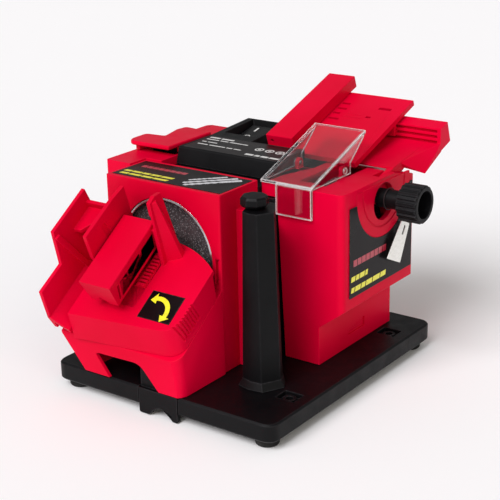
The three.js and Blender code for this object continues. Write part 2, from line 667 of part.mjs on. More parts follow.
function makeDrillHead() {
  const group = new THREE.Group();
  group.position.set(...HEAD_ORIGIN);
  group.rotation.x = radians(HEAD_TILT);
  object.add(group);

  const right = HEAD_HALF_WIDTH;
  const arcCentre = -21;
  const arcRadius = HEAD_REAR - arcCentre;
  const rearArc = (shrink) => {
    const points = [];
    for (let i = 0; i <= 14; i += 1) {
      const x = right - shrink - (i / 14) * (right - HEAD_LEFT - 2 * shrink);
      points.push([x, arcCentre + Math.sqrt((arcRadius - shrink) ** 2 - x ** 2)]);
    }
    return points;
  };
  // The slab, seen square to its top: rounded right front corner, round rear edge.
  const plan = (shrink) =>
    outline([
      [HEAD_LEFT + shrink, -17 + shrink], [right - shrink, -11 + shrink, 9 - shrink], ...rearArc(shrink),
    ]);
  // Everything behind the leaning front face, which rounds into the right side.
  const behindFront = (inset, round) =>
    prism(
      "z",
      outline([[-90, inset], [49.7 - inset, inset, round], [61.5 - inset, 150], [-90, 150]]),
      [-80, 80],
    )
      .rotate([-20.5, 0, 0])
      .rotate([0, 0, 4.2])
      .translate([0, -7, 0]);
  const skirtEnds = prism(
    "x",
    outline([[48.5, 1], [47, 0], [37.8, -HEAD_DEPTH - 1], [90, -HEAD_DEPTH - 1], [90, 1]]),
    [-60, 60],
  );
  const topPlate = prism("z", plan(0), [-SKIN, 0]);
  const skirts = cut(prism("z", plan(0), [-HEAD_DEPTH, -SKIN + 1]), skirtEnds);
  const hollow = cut(
    prism("z", plan(SKIN), [-HEAD_DEPTH - 1, -SKIN]).intersect(behindFront(SKIN, 11)),
    box([-60, 60], [40, 90], [-HEAD_DEPTH - 2, -SKIN + 0.01]),
  );
  const rearOpen = box([HEAD_LEFT + SKIN, right - SKIN], [30, 60], [-HEAD_DEPTH - 1, -SKIN]);
  const pivotBoss = rod("z", [0, HEAD_PIVOT_V], 7.5, [-HEAD_DEPTH, -SKIN + 1]);
  const channelFloor = box([-25, 12.5], [4, 44], [-HEAD_DEPTH, -HEAD_DEPTH + 2.5]);
  const channelWalls = [
    box([-24.5, -21.6], [4, 44], [-HEAD_DEPTH, -1]),
    box([9, 12], [4.2, 44], [-HEAD_DEPTH, -1]),
    box([-24.5, 12], [4.2, 7], [-HEAD_DEPTH, -1]),
  ];
  const channel = prism(
    "z",
    outline([[-21.3, 7.3], [8.7, 7.3], [8.7, 90], [-21.3, 90]]),
    [-HEAD_DEPTH + 2.8, 1],
  );
  const pinHole = rod("z", [0, HEAD_PIVOT_V], 4.3, [-HEAD_DEPTH - 1, -SKIN - 2]);
  const grips = [];
  const gripFloor = behindFront(1.2, 12).intersect(box([-60, right - 1.2], [-60, 90], [-60, 60]));
  for (let i = 0; i < 8; i += 1) {
    const v = i * 2.7;
    grips.push(cut(box([right - 9, right + 1], [v, v + 1.3], [-HEAD_DEPTH + 5, 1]), gripFloor));
  }
  const labelRecess = box([15, 42], [1.5, 23.5], [-0.8, 1]);
  const shelled = cut(join(topPlate, skirts), hollow, rearOpen);
  const body = join(shelled, pivotBoss, channelFloor, ...channelWalls).intersect(behindFront(0, 13));
  // Two tall ears guide the clamp. Each is a plate with a stiffening flange on its outer side.
  const ear = (x, profile) => prism("x", outline(profile), [x, x + 3]);
  const leftEar = ear(-24.6, [[21.7, -1], [21.7, 26], [26, 42.5], [60, 42], [72.4, 40.4], [63, 9], [60, -1]]);
  const rightEar = ear(9, [[42.5, -1], [59.5, 45], [66, 45.5], [71.7, 42.4], [65, 10], [62, -1]]);
  const rightFlange = solid(
    new ConvexGeometry([
      new THREE.Vector3(11, 46, -1), new THREE.Vector3(21.5, 52, -1), new THREE.Vector3(20.5, 57, -1),
      new THREE.Vector3(11, 60, -1), new THREE.Vector3(11, 60.5, 44), new THREE.Vector3(14.5, 63, 43),
      new THREE.Vector3(11, 66, 43),
    ]),
  );
  const earParts = join(leftEar, rightEar, rightFlange);
  // The clamp's tongues slide in these grooves.
  const grooves = [box([-22.6, -21], [39.7, 44.3], [5, 36]), box([8, 10], [52.7, 57.3], [5, 36])];
  add(
    "drill_head",
    cut(join(body, earParts), channel, pinHole, labelRecess, ...grips, ...grooves),
    "red",
    group,
  );
  add("arrow_label", box([15.3, 41.7], [1.8, 23.2], [-0.5, 0.1]), "label", group);
  add("head_pivot_pin", rod("z", [0, HEAD_PIVOT_V], 4, [-39, -SKIN - 2.5], 20), "steel", group);

  // The V block under the drill, stepped along its groove.
  const vee = [
    [-20.9, -HEAD_DEPTH + 3.1], [8.3, -HEAD_DEPTH + 3.1], [8.3, 3], [2, 3], [-6.5, -6], [-15, 3],
    [-20.9, 3],
  ];
  let vBlock = prism("y", outline(vee), [23, 50]);
  vBlock = join(vBlock, box([-20.9, 8.3], [7.7, 24], [-HEAD_DEPTH + 3.1, -11]));
  for (let i = 0; i < 8; i += 1) {
    const v = 25 + i * 2.8;
    vBlock = cut(vBlock, box([-22, -14.4], [v, v + 1.3], [0.4, 4]), box([1.4, 9], [v, v + 1.3], [0.4, 4]));
  }
  const rearFace = box([-60, 60], [0, 60], [-60, 60]).rotate([-HEAD_TILT, 0, 0]).translate([0, 54.5, -8]);
  add("v_block", cut(vBlock, rearFace), "red", group);

  // The clamp presses the drill into the V block. Its end shows the drill's V notch.
  const clampSection = outline([
    [-19.5, 7.5], [-16.5, 7.5], [-10, 12.8], [-3, 7.5], [3.8, 7.5], [6.6, 27, 1.5], [-20.4, 27, 1.5],
  ]);
  const windows = [];
  for (let i = 0; i < 3; i += 1) {
    const v = 5 + i * 3.6;
    windows.push(prism("x", outline([[v, 10], [v + 2.1, 10], [v + 5.1, 21], [v + 3, 21]]), [-1, 9]));
  }
  windows.push(prism("x", outline([[18.5, 10], [32.5, 10], [35.5, 21], [21.5, 21]]), [-1, 9]));
  windows.push(prism("x", outline([[35.5, 10], [49.5, 10], [52.5, 21], [38.5, 21]]), [-1, 9]));
  const tongues = [box([-22.2, -19], [40, 44], [10, 24]), box([5, 9.6], [53, 57], [10, 24])];
  const clamp = join(prism("y", clampSection, [1.5, 59]), ...tongues);
  add("drill_clamp", cut(clamp, ...windows), "red", group);
  makeWingGuard(group);
}

// The guard on the head's left: an upright zigzag plate, a shelf behind and a ledge below.
function makeWingGuard(group) {
  const zigzag = outline([
    [63, 42], [24, 42.5], [14.6, 19.5], [-10, 20], [-16.5, -0.5], [
      -16.5, -11.5,
    ], [36, -11.5], [45, 0], [61.5, 28],
  ]);
  const wing = prism("x", zigzag, [-52.2, -49.2]);
  const rib = prism("x", outline([[22, 38], [26, 38], [34, -6], [30, -6]]), [-50, -47.6]);
  const shelf = prism(
    "z",
    outline([[-50, 38], [-43.5, 38], [-31, 54], [-25, 54], [-25, 60.5], [-50, 60.5]]),
    [26, 29],
  );
  const lip = box([-50, -25], [57.8, 60.5], [28, 34]);
  const ledge = prism("y", outline([[-50, 1], [-38.8, -11], [-38.8, -14.5], [-52.2, -3]]), [-16.5, 34]);
  add("wing_guard", join(wing, rib, shelf, lip, ledge), "red", group);
}

// ---------------------------------------------------------------- chisel station

function makeChiselHousing() {
  const front = (inset) =>
    outline([
      [38 + inset, ON_BASE - (inset ? 1 : 0)], [CHISEL_LEFT + inset, 120], [
        CHISEL_LEFT + inset, CHISEL_TOP - inset,
      ],
      [
        CHISEL_RIGHT - inset, CHISEL_TOP - inset,
      ], [CHISEL_RIGHT - inset, 55 + inset], [CHISEL_FOOT_RIGHT - inset, 41 + inset],
      [CHISEL_FOOT_RIGHT - inset, ON_BASE - (inset ? 1 : 0)],
    ]);
  // The plan only rounds the two right corners.
  const plan = outline([
    [20, CHISEL_FRONT], [CHISEL_RIGHT, CHISEL_FRONT, 5], [CHISEL_RIGHT, CHISEL_BACK, 5], [20, CHISEL_BACK],
  ]);
  const body = prism("y", front(0), [CHISEL_FRONT, CHISEL_BACK]).intersect(prism("z", plan, [0, 200]));
  const inner = prism("y", front(SKIN), [CHISEL_FRONT + SKIN, CHISEL_BACK - SKIN]);
  const rearSlope = prism(
    "x",
    outline([[58, 140], [58, CHISEL_TOP - 0.6], [CHISEL_BACK + 1, 129], [CHISEL_BACK + 1, 140]]),
    [30, 90],
  );
  const rearRoof = prism(
    "x",
    outline([[58, CHISEL_TOP], [58, CHISEL_TOP - 3.6], [CHISEL_BACK - 1, 126.5], [CHISEL_BACK - 1, 129.8]]),
    [35, 82],
  );
  const [pivotY] = PIVOT;
  const bossCentre = [42, 131];
  const boss = cut(
    rod("x", bossCentre, 35, [CHISEL_RIGHT - 1, CHISEL_RIGHT + 0.7], 56),
    box([80, 90], [0, 90], [134, 180]),
  );
  const ring = cut(
    rod("x", bossCentre, 28, [CHISEL_RIGHT, CHISEL_RIGHT + 2], 48),
    rod("x", bossCentre, 26.8, [CHISEL_RIGHT - 1, CHISEL_RIGHT + 3], 48),
  );
  const knobHole = rod("x", [pivotY - 1, PIVOT[1] - 2], 13, [CHISEL_RIGHT - SKIN - 1, CHISEL_RIGHT + 3], 36);
  const ledge = box(
    [OVERHANG.left, CHISEL_LEFT + 2], [CHISEL_FRONT, OVERHANG.back], [OVERHANG.low, CHISEL_TOP],
  );
  const lug = ([from, to], low) =>
    join(
      box([from, to], [GUARD_HINGE[0] - 3.2, GUARD_HINGE[0] + 3.2], [low, GUARD_HINGE[1]]),
      rod("x", GUARD_HINGE, 3.2, [from, to], 20),
    );
  const lugShelf = box([56.8, 63.5], [GUARD_HINGE[0] - 3.2, GUARD_HINGE[0] + 3.2], [133.5, 136]);
  const lugs = [lug([22.7, 25.7], CHISEL_TOP - 1), lug([57, 59.7], 135), lugShelf];
  const openings = [
    box([75.6, 81], [42.5, CHISEL_BACK - SKIN - 0.5], [CHISEL_TOP - 14, CHISEL_TOP + 1]),
    rod("x", [SHAFT_Y, AXIS_Z], 14, [20, 45]),
    rod("x", GUARD_HINGE, 1.8, [20, 80], 12),
    box([CHISEL_FOOT_RIGHT - 1.4, CHISEL_FOOT_RIGHT + 1], [28.5, 50], [22.4, 25.6]),
    box([CHISEL_FOOT_RIGHT - 1.4, CHISEL_FOOT_RIGHT + 1], [46.4, 50], [22.4, 29.6]),
  ];
  const wheelMouth = box([42, 62.4], [4, 74], [CHISEL_TOP - 14, CHISEL_TOP + 1]);
  const walls = cut(join(cut(body, inner), rearRoof), rearSlope, wheelMouth);
  add("chisel_housing", cut(join(walls, boss, ledge, ...lugs), ring, knobHole, ...openings), "red");

  const label = cut(
    box([CHISEL_RIGHT + GAP, CHISEL_RIGHT + 0.8], [-1.5, 81], [63, 126]),
    rod("x", bossCentre, 35.3, [80, 90], 56),
  );
  add("chisel_label", label, "label");
}

// A solid made along the guide's slope, with its origin at the plate's front top edge.
const fromGuide = (shape) => shape.rotate([GUIDE_SLOPE, 0, 0]).translate([0, ...PLATE_FRONT]);

// The tilting arm: a bed behind the wheel, a rail block across it and a cheek down to the pivot.
function makeGuideArm() {
  const bedLine = [[62, 138.4], [86, 142.2], [110.8, 146.6]];
  const [[y0, z0], [y1, z1], [y2, z2]] = bedLine;
  const bed = prism(
    "x",
    outline([[y0, z0 - 1.5], [y0, z0], [y1, z1], [y2 + 1, z2], [y2 + 1, z2 - 4], [y1, z1 - 3.4]]),
    [36, BED_RIGHT],
  );
  const blockSection = outline([
    [110.6, 144], [110.6, 156.8], [120.4, 160.2, 1], [125.4, 145, 1], [112, 140.6],
  ]);
  const block = prism("x", blockSection, [PLATE_LEFT + 2, RAIL_RIGHT]);
  const grooves = [145.6, 149.5, 153.4].map((z) =>
    box([PLATE_LEFT + 1, RAIL_RIGHT - 3], [109, 113.4], [z, z + 2]),
  );
  // The bed's right side runs down and out to the end of the rail.
  const inner = BED_RIGHT - 0.5;
  const side = solid(
    new ConvexGeometry([
      new THREE.Vector3(
        inner, 72, 139.6,
      ), new THREE.Vector3(inner, 76, 135.4), new THREE.Vector3(inner, 90, 132),
      new THREE.Vector3(inner, 112, 140.6), new THREE.Vector3(inner, 112, 146.5), new THREE.Vector3(
        RAIL_RIGHT, 88.5, 129.4,
      ),
      new THREE.Vector3(RAIL_RIGHT, 112, 140), new THREE.Vector3(RAIL_RIGHT, 112, 146.4),
    ]),
  );
  const rearWeb = prism("x", outline([[111, 141], [111, 146], [86, 140.5], [86, 137.2]]), [34, BED_RIGHT]);
  const cheek = prism(
    "x",
    outline([
      [34.5, 120, 6], [50, 114.5, 6], [62, 127, 4], [80.5, 135.8], [80.5, 141], [64, 138.4],
      [40, 131.4, 6],
    ]),
    [76, 80.4],
  );
  const arm = join(bed, block, side, rearWeb, cheek);
  const bolt = rod("x", PIVOT, 3.3, [70, 90], 20);
  add("guide_arm", cut(arm, bolt, ...grooves), "red");

  // The clamping knob outside, its bolt and the nut inside the cheek.
  const knobStart = 81.2;
  const knobProfile = [
    [3.3, 0], [6.6, 0], [6.6, 18.8], [
      13.2, 19.8,
    ], [13.2, 33.8], [11.8, 35], [9.6, 35], [8.8, 24.5], [3.3, 24.5],
  ];
  let knob = turned("x", [knobStart, ...PIVOT], knobProfile, 36);
  const flutes = 18;
  for (let i = 0; i < flutes; i += 1) {
    const angle = (i / flutes) * Math.PI * 2;
    const centre = [PIVOT[0] + 13.7 * Math.cos(angle), PIVOT[1] + 13.7 * Math.sin(angle)];
    knob = cut(knob, rod("x", centre, 1.5, [knobStart + 18, knobStart + 37], 8));
  }
  add("angle_knob", knob, "black");
  add(
    "knob_bolt",
    turned("x", [72.6, ...PIVOT], [[0, 0], [5.5, 0], [5.5, 3], [3, 3], [3, 32], [0, 32]], 24),
    "steel",
  );
}

// A blank paper tag on a loop of string round the knob's neck.
function makeHangTag() {
  const [x0, x1] = [88.6, 89.2];
  const paper = prism(
    "x",
    outline([[60.5, 102.4, 1], [71, 97.4, 1], [58.8, 71.8, 1], [41, 80, 1]]),
    [x0, x1],
  );
  const hole = prism(
    "x",
    outline([[64.2, 98.2], [66.2, 96.9], [62.4, 91.1], [60.4, 92.4]]),
    [x0 - 1, x1 + 1],
  );
  const string = prism("x", outline([[48.2, 117.4], [64, 98.6], [64.8, 99.2], [48.9, 118.1]]), [x0, x1]);
  const loop = turned("x", [x0, ...PIVOT], [[7.1, 0], [7.8, 0], [7.8, 0.6], [7.1, 0.6]], 24);
  add("hang_tag", join(cut(paper, hole), string, loop), "paper");
}

// The chisel plate slides along the rail and carries the fence bar.
function makeCarriage() {
  const plate = box([PLATE_LEFT, PLATE_RIGHT], [0, PLATE_LENGTH], [-PLATE_THICKNESS, 0]);
  const cuts = [
    box(
      [6.2, 13], [69, 71.4], [-9, 1],
    ), box([6.2, 14], [62, 64.4], [-9, 1]), box([6.2, 12], [55.5, 58], [-9, 1]),
    box([6.2, 15], [48, 50.4], [-9, 1]), box([38, 48], [68, 71], [-9, 1]), box(
      [34, 38], [55.4, 57.6], [-9, 1],
    ),
  ];
  const lines = [box([16, 32], [53, 53.7], [-0.2, 0.35]), box([18, 30], [57.2, 57.9], [-0.2, 0.35])];
  const shaped = fromGuide(cut(join(plate, ...lines), ...cuts));
  // A web under the plate stands against the rail, with a tongue in the rail's middle groove.
  const web = box([PLATE_LEFT + 4, PLATE_RIGHT - 3], [107.2, 110.3], [147.4, 158.8]);
  const tongue = box([PLATE_LEFT + 4, PLATE_RIGHT - 3], [109, 112.9], [149.8, 151.2]);
  add("guide_plate", join(shaped, web, tongue), "red");
  const near = 3.6;
  const far = near + FENCE_LENGTH;
  const bar = prism(
    "x",
    outline([[near, 0.35], [near, FENCE_HEIGHT, 0.8], [far, FENCE_HEIGHT, 0.8], [far, 0.35]]),
    [PLATE_LEFT, PLATE_LEFT + FENCE_WIDTH],
  );
  const screwHole = rod("y", [PLATE_LEFT + 4.5, 5], 1.2, [near - 2, near + 7], 12);
  add("fence_bar", fromGuide(cut(bar, screwHole)), "red");
}

// The clear guard over the front of the wheel.
function makeGuard() {
  const [x0, x1] = [20.4, 62];
  const [hingeY, hingeZ] = GUARD_HINGE;
  const front = -11;
  const slope = 0.368;
  const rear = 56;
  const roofAt = (y) => 139.3 + (y - front) * slope;
  const roof = prism(
    "x",
    outline([
      [front, roofAt(front) - 2],
      [front, roofAt(front)],
      [rear, roofAt(rear)],
      [rear, roofAt(rear) - 2],
    ]),
    [x0, x1],
  );
  const wall = (x, low) =>
    prism(
      "x",
      outline([
        [front, low], [hingeY + 6.7, low], [
          hingeY + 6.7, hingeZ + 4.2,
        ], [52.4, 158.4], [rear, roofAt(rear) - 1],
        [front, roofAt(front) - 1],
      ]),
      [x, x + 2],
    );
  const skirt = box([33.5, x1], [-12.6, -10.4], [117, 138.6]);
  const pinHoles = rod("x", GUARD_HINGE, 1.8, [x0 - 1, x1 + 1], 12);
  add("safety_guard", cut(join(roof, wall(x0, 138.3), wall(x1 - 2, 137.5), skirt), pinHoles), "clear");
  add("guard_pin_left", rod("x", GUARD_HINGE, 1.5, [x0 + 0.1, 26], 12), "steel");
  add("guard_pin_right", rod("x", GUARD_HINGE, 1.5, [56.8, x1 - 0.1], 12), "steel");
}

// ---------------------------------------------------------------- knife station

function makeKnifeStation() {
  const low = SHOULDER_TOP + GAP;
  const right = CONSOLE.left - GAP;
  const gapLeft = DRILL_LEFT - GAP;
  const body = shell(
    outline([
      [-101, -30.5, 3], [gapLeft, -30.5], [gapLeft, CORE_FRONT], [CONSOLE.left - GAP, CORE_FRONT],
      [right, 90], [-101, 90, 6],
    ]),
    outline([
      [-98, -27.5], [gapLeft - SKIN, -27.5], [
        gapLeft - SKIN, CORE_FRONT + SKIN,
      ], [right - SKIN, CORE_FRONT + SKIN],
      [right - SKIN, 87], [-98, 87],
    ]),
    [low, KNIFE_DECK],
  );
  const mouth = box([KNIFE_WHEEL_X - 13, KNIFE_WHEEL_X + 13], [6, 62], [KNIFE_DECK - 6, KNIFE_DECK + 1]);
  add("knife_housing", cut(body, mouth), "red");

  const under = KNIFE_DECK + GAP;
  const roof = prism(
    "z",
    outline([
      [-99, -4, 2], [right - 1, -3], [right - 1, 48, 3], [-91.5, 50, 3], [-93, 40, 2], [-88, 20.5, 2],
      [-104.5, 18.5, 4], [-104, 0, 4],
    ]),
    [144.8, 148],
    0.7,
  );
  const posts = [
    box([-99.5, -96], [1, 17], [under, 146]), box([-91, right - 2], [42, 47], [under, 146]),
    box([-68.5, right - 2], [10, 46], [under, 146]),
  ];
  add("knife_cover", join(roof, ...posts), "red");

  // Guides under the cover hold a blade at its angle to the wheel.
  let guide = box([-92.5, -70], [12, 41.5], [KNIFE_DECK - 5.7, 144.4]);
  for (const [x, lean] of [[-86, 4], [-76, -4]]) {
    const slot = outline([
      [x - 1.2, KNIFE_DECK - 7], [x + 1.2, KNIFE_DECK - 7], [x + 1.2 + lean, 146], [x - 1.2 + lean, 146],
    ]);
    guide = cut(guide, prism("y", slot, [10, 40]));
  }
  add("knife_guide", guide, "black");
}

makeBase();
makeReleaseLever();
makeMotorHousing();
makeConsole();
makeDrive();
makeDrillHousing();
makeDrillFront();
makeDrillHead();
makeChiselHousing();
makeGuideArm();
makeHangTag();
makeCarriage();
makeGuard();
makeKnifeStation();

export default object;
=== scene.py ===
"""Looks for the bench sharpening machine: bevelled edges, procedural materials and label graphics.

Everything is in metres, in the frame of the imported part: +X right, +Y back, +Z up.
"""

import json
import math

import bpy
from mathutils import Euler, Matrix, Vector


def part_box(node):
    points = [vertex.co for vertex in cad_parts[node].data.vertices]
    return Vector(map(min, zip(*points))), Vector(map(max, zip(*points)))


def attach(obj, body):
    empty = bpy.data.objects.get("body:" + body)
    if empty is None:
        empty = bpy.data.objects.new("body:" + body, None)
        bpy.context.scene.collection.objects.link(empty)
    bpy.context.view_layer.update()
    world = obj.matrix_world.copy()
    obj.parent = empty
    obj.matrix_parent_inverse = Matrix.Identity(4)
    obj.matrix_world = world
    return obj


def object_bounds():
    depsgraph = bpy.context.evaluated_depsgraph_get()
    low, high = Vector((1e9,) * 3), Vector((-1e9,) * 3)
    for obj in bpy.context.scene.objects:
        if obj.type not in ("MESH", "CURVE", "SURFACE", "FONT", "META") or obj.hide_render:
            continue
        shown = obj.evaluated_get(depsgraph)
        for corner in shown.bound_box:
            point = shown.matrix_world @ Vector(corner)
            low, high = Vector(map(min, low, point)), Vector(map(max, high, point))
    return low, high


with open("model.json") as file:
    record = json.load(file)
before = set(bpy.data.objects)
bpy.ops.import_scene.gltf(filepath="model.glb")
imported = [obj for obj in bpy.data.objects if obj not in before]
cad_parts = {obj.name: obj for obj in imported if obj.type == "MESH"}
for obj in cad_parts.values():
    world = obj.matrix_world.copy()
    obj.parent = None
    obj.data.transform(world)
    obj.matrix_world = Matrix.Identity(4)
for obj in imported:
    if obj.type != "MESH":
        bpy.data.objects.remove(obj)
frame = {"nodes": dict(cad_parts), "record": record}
CAD_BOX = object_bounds()

MM = 0.001
NODES = frame["nodes"]

# The parts of a noise's 0..1 range that are spread out: most of it, or only its middle.
FULL = (0.3, 0.7)
SOFT = (0.35, 0.65)


# ---------------------------------------------------------------- shader helpers


class Shader:
    """A principled material and short ways to add nodes to it."""

    def __init__(self, name, **constants):
        self.material = bpy.data.materials.new(name)
        self.material.use_nodes = True
        self.tree = self.material.node_tree
        self.surface = self.tree.nodes["Principled BSDF"]
        for socket, value in constants.items():
            self.surface.inputs[socket.replace("_", " ")].default_value = value
        self.place = self.add("ShaderNodeTexCoord").outputs["Object"]

    def add(self, kind, **settings):
        node = self.tree.nodes.new(kind)
        for key, value in settings.items():
            setattr(node, key, value)
        return node

    def link(self, value, socket):
        if isinstance(value, bpy.types.NodeSocket):
            self.tree.links.new(value, socket)
        else:
            socket.default_value = value

    def set(self, name, value):
        self.link(value, self.surface.inputs[name])

    def stretched(self, scale):
        node = self.add("ShaderNodeMapping")
        self.link(self.place, node.inputs["Vector"])
        node.inputs["Scale"].default_value = scale
        return node.outputs["Vector"]

    def noise(self, scale, detail=2.0, roughness=0.5, place=None):
        node = self.add("ShaderNodeTexNoise")
        self.link(place or self.place, node.inputs["Vector"])
        node.inputs["Scale"].default_value = scale
        node.inputs["Detail"].default_value = detail
        node.inputs["Roughness"].default_value = roughness
        return node.outputs["Fac"]

    def cells(self, scale, output="Distance"):
        node = self.add("ShaderNodeTexVoronoi")
        self.link(self.place, node.inputs["Vector"])
        node.inputs["Scale"].default_value = scale
        return node.outputs[output]

    def maths(self, operation, a, b=0.0):
        node = self.add("ShaderNodeMath", operation=operation)
        self.link(a, node.inputs[0])
        self.link(b, node.inputs[1])
        return node.outputs[0]

    def spread(self, value, low, high, to_low=0.0, to_high=1.0):
        """Maps low..high to to_low..to_high and stops there."""
        node = self.add("ShaderNodeMapRange")
        self.link(value, node.inputs["Value"])
        limits = {"From Min": low, "From Max": high, "To Min": to_low, "To Max": to_high}
        for socket, number in limits.items():
            node.inputs[socket].default_value = number
        return node.outputs["Result"]

    def mix(self, factor, a, b):
        node = self.add("ShaderNodeMix", data_type="RGBA")
        self.link(factor, node.inputs["Factor"])
        self.link(a, node.inputs["A"])
        self.link(b, node.inputs["B"])
        return node.outputs["Result"]

    def edges(self, radius, broken=0.0, scale=300.0):
        """1 along sharp edges and 0 on flat faces; broken takes bites out of the line."""
        round_off = self.add("ShaderNodeBevel", samples=4)
        round_off.inputs["Radius"].default_value = radius
        true = self.add("ShaderNodeNewGeometry")
        dot = self.add("ShaderNodeVectorMath", operation="DOT_PRODUCT")
        self.link(round_off.outputs["Normal"], dot.inputs[0])
        self.link(true.outputs["Normal"], dot.inputs[1])
        line = self.spread(dot.outputs["Value"], 0.995, 0.9)
        if not broken:
            return line
        bites = self.spread(self.noise(scale, 3.0), *SOFT, 1.0 - broken, 1.0)
        return self.maths("MULTIPLY", line, bites)

    def bump(self, height, distance, strength=1.0, under=None):
        node = self.add("ShaderNodeBump")
        node.inputs["Strength"].default_value = strength
        node.inputs["Distance"].default_value = distance
        self.link(height, node.inputs["Height"])
        if under is not None:
            self.link(under, node.inputs["Normal"])
        self.link(node.outputs["Normal"], self.surface.inputs["Normal"])
        return node.outputs["Normal"]


def colour(red, green, blue):
    """A linear colour from 0..255 screen values, by the sRGB curve."""
    def linear(value):
        if value <= 10:
            return value / 255 / 12.92
        return ((value / 255 + 0.055) / 1.055) ** 2.4

    return (linear(red), linear(green), linear(blue), 1.0)


# ---------------------------------------------------------------- materials
# Noise scales are in repeats per metre. Bump heights and edge widths are in metres.


def moulded_red():
    """Satin plastic: slow flow marks, paler worn edges, smudges, orange peel and a fine grain."""
    deep, full, worn_tone = colour(206, 0, 42), colour(222, 0, 52), colour(240, 30, 64)
    shader = Shader(
        "red_plastic", Coat_Weight=0.01, Coat_Roughness=0.25, Specular_IOR_Level=0.045
    )
    flow = shader.noise(9.0, 3.0)
    body = shader.mix(shader.spread(flow, *SOFT), deep, full)
    worn = shader.edges(1.2 * MM, broken=0.7)
    shader.set("Base Color", shader.mix(shader.maths("MULTIPLY", worn, 0.25), body, worn_tone))
    smudges = shader.spread(shader.noise(60.0, 4.0, 0.6), *FULL, 0.30, 0.42)
    shader.set("Roughness", shader.maths("ADD", smudges, shader.maths("MULTIPLY", worn, 0.12)))
    peel = shader.bump(shader.noise(420.0, 2.0), 0.06 * MM, 0.25)
    shader.bump(shader.noise(2600.0, 1.0), 0.02 * MM, 0.3, under=peel)
    return shader.material


def moulded_black(name="black_plastic", grain=0.6, tone=4, roughness=0.46):
    """Spark-textured plastic; tone is its darkest screen value and grain its texture's strength."""
    lift = tone + 7
    deep, pale = colour(tone, tone, tone + 2), colour(lift, lift, lift + 2)
    worn_tone = colour(78, 76, 80)
    shader = Shader(name, Specular_IOR_Level=0.15)
    body = shader.mix(shader.spread(shader.noise(12.0, 3.0), *FULL), deep, pale)
    worn = shader.edges(1.1 * MM, broken=0.6)
    shader.set("Base Color", shader.mix(shader.maths("MULTIPLY", worn, 0.4), body, worn_tone))
    dust = shader.noise(90.0, 4.0, 0.65)
    dusty = shader.spread(dust, *FULL, roughness - 0.07, roughness + 0.09)
    shader.set("Roughness", shader.maths("SUBTRACT", dusty, shader.maths("MULTIPLY", worn, 0.1)))
    spark = shader.bump(shader.cells(1500.0), 0.06 * MM, grain)
    shader.bump(shader.noise(500.0, 3.0), 0.05 * MM, 0.25, under=spark)
    return shader.material


def soft_rubber():
    """Matt rubber with pale dust on it."""
    shader = Shader("black_rubber", Specular_IOR_Level=0.3)
    dust = shader.spread(shader.noise(140.0, 5.0, 0.7), 0.45, 0.7)
    shader.set("Base Color", shader.mix(dust, colour(20, 20, 20), colour(44, 43, 42)))
    shader.set("Roughness", shader.spread(shader.noise(220.0, 3.0), *FULL, 0.78, 0.95))
    shader.bump(shader.noise(1800.0, 2.0), 0.05 * MM, 0.5)
    return shader.material


def printed_film():
    """A label's dark film: uneven ink, slight ripples and a rubbed border."""
    rubbed = colour(120, 110, 110)
    shader = Shader("label_film", Coat_Weight=0.03, Coat_Roughness=0.1, Specular_IOR_Level=0.1)
    cover = shader.spread(shader.noise(35.0, 3.0), *SOFT)
    body = shader.mix(cover, colour(9, 5, 7), colour(20, 11, 14))
    worn = shader.edges(0.6 * MM, broken=0.8)
    shader.set("Base Color", shader.mix(shader.maths("MULTIPLY", worn, 0.5), body, rubbed))
    shader.set("Roughness", shader.spread(shader.noise(70.0, 4.0), *FULL, 0.24, 0.36))
    shader.bump(shader.noise(160.0, 2.0), 0.08 * MM, 0.2)
    return shader.material


def ink(name, tone, thin):
    """Printing ink on the film, worn thin in places."""
    shader = Shader(name, Coat_Weight=0.4, Coat_Roughness=0.12)
    patches = shader.spread(shader.noise(700.0, 3.0), 0.52, 0.75)
    shader.set("Base Color", shader.mix(patches, tone, thin))
    shader.set("Roughness", shader.spread(shader.noise(200.0, 3.0), *FULL, 0.3, 0.42))
    shader.bump(shader.noise(1400.0, 2.0), 0.02 * MM, 0.3)
    return shader.material


CARD_TOP = 102.5 * MM


def card():
    """Fibrous paper below CARD_TOP, and the dark thread of the tag's loop above it."""
    shader = Shader("tag_card", Specular_IOR_Level=0.3)
    fibres = shader.noise(900.0, 4.0, 0.7, shader.stretched((1.0, 0.25, 1.0)))
    paper = shader.mix(shader.spread(fibres, *SOFT), colour(238, 238, 234), colour(252, 252, 250))
    split = shader.add("ShaderNodeSeparateXYZ")
    shader.link(shader.place, split.inputs["Vector"])
    thread = shader.spread(split.outputs["Z"], CARD_TOP, CARD_TOP + 0.2 * MM)
    shader.set("Base Color", shader.mix(thread, paper, colour(38, 26, 28)))
    shader.set("Roughness", shader.spread(fibres, *FULL, 0.62, 0.8))
    shader.bump(fibres, 0.04 * MM, 0.4)
    return shader.material


def clear_guard():
    """Clear plastic with painted white highlights along its edges, and fine scuffs."""
    shader = Shader("clear_plastic", IOR=1.4, Specular_IOR_Level=0.25)
    # Painted highlight: along the edges the colour turns white and the plastic turns mostly opaque,
    # standing in for light caught by the clear edges.
    painted_highlight_edges = shader.edges(1.4 * MM)
    shader.set("Base Color", shader.mix(painted_highlight_edges, colour(246, 248, 250), colour(255, 255, 255)))
    shader.set("Transmission Weight", shader.spread(painted_highlight_edges, 0.0, 1.0, 1.0, 0.1))
    scuffs = shader.noise(500.0, 4.0, 0.6, shader.stretched((1.0, 0.12, 1.0)))
    haze = shader.spread(scuffs, 0.55, 0.8, 0.0, 0.03)
    shader.set("Roughness", shader.maths("ADD", haze, shader.maths("MULTIPLY", painted_highlight_edges, 0.25)))
    shader.bump(shader.noise(55.0, 2.0), 0.1 * MM, 0.12)
    return shader.material


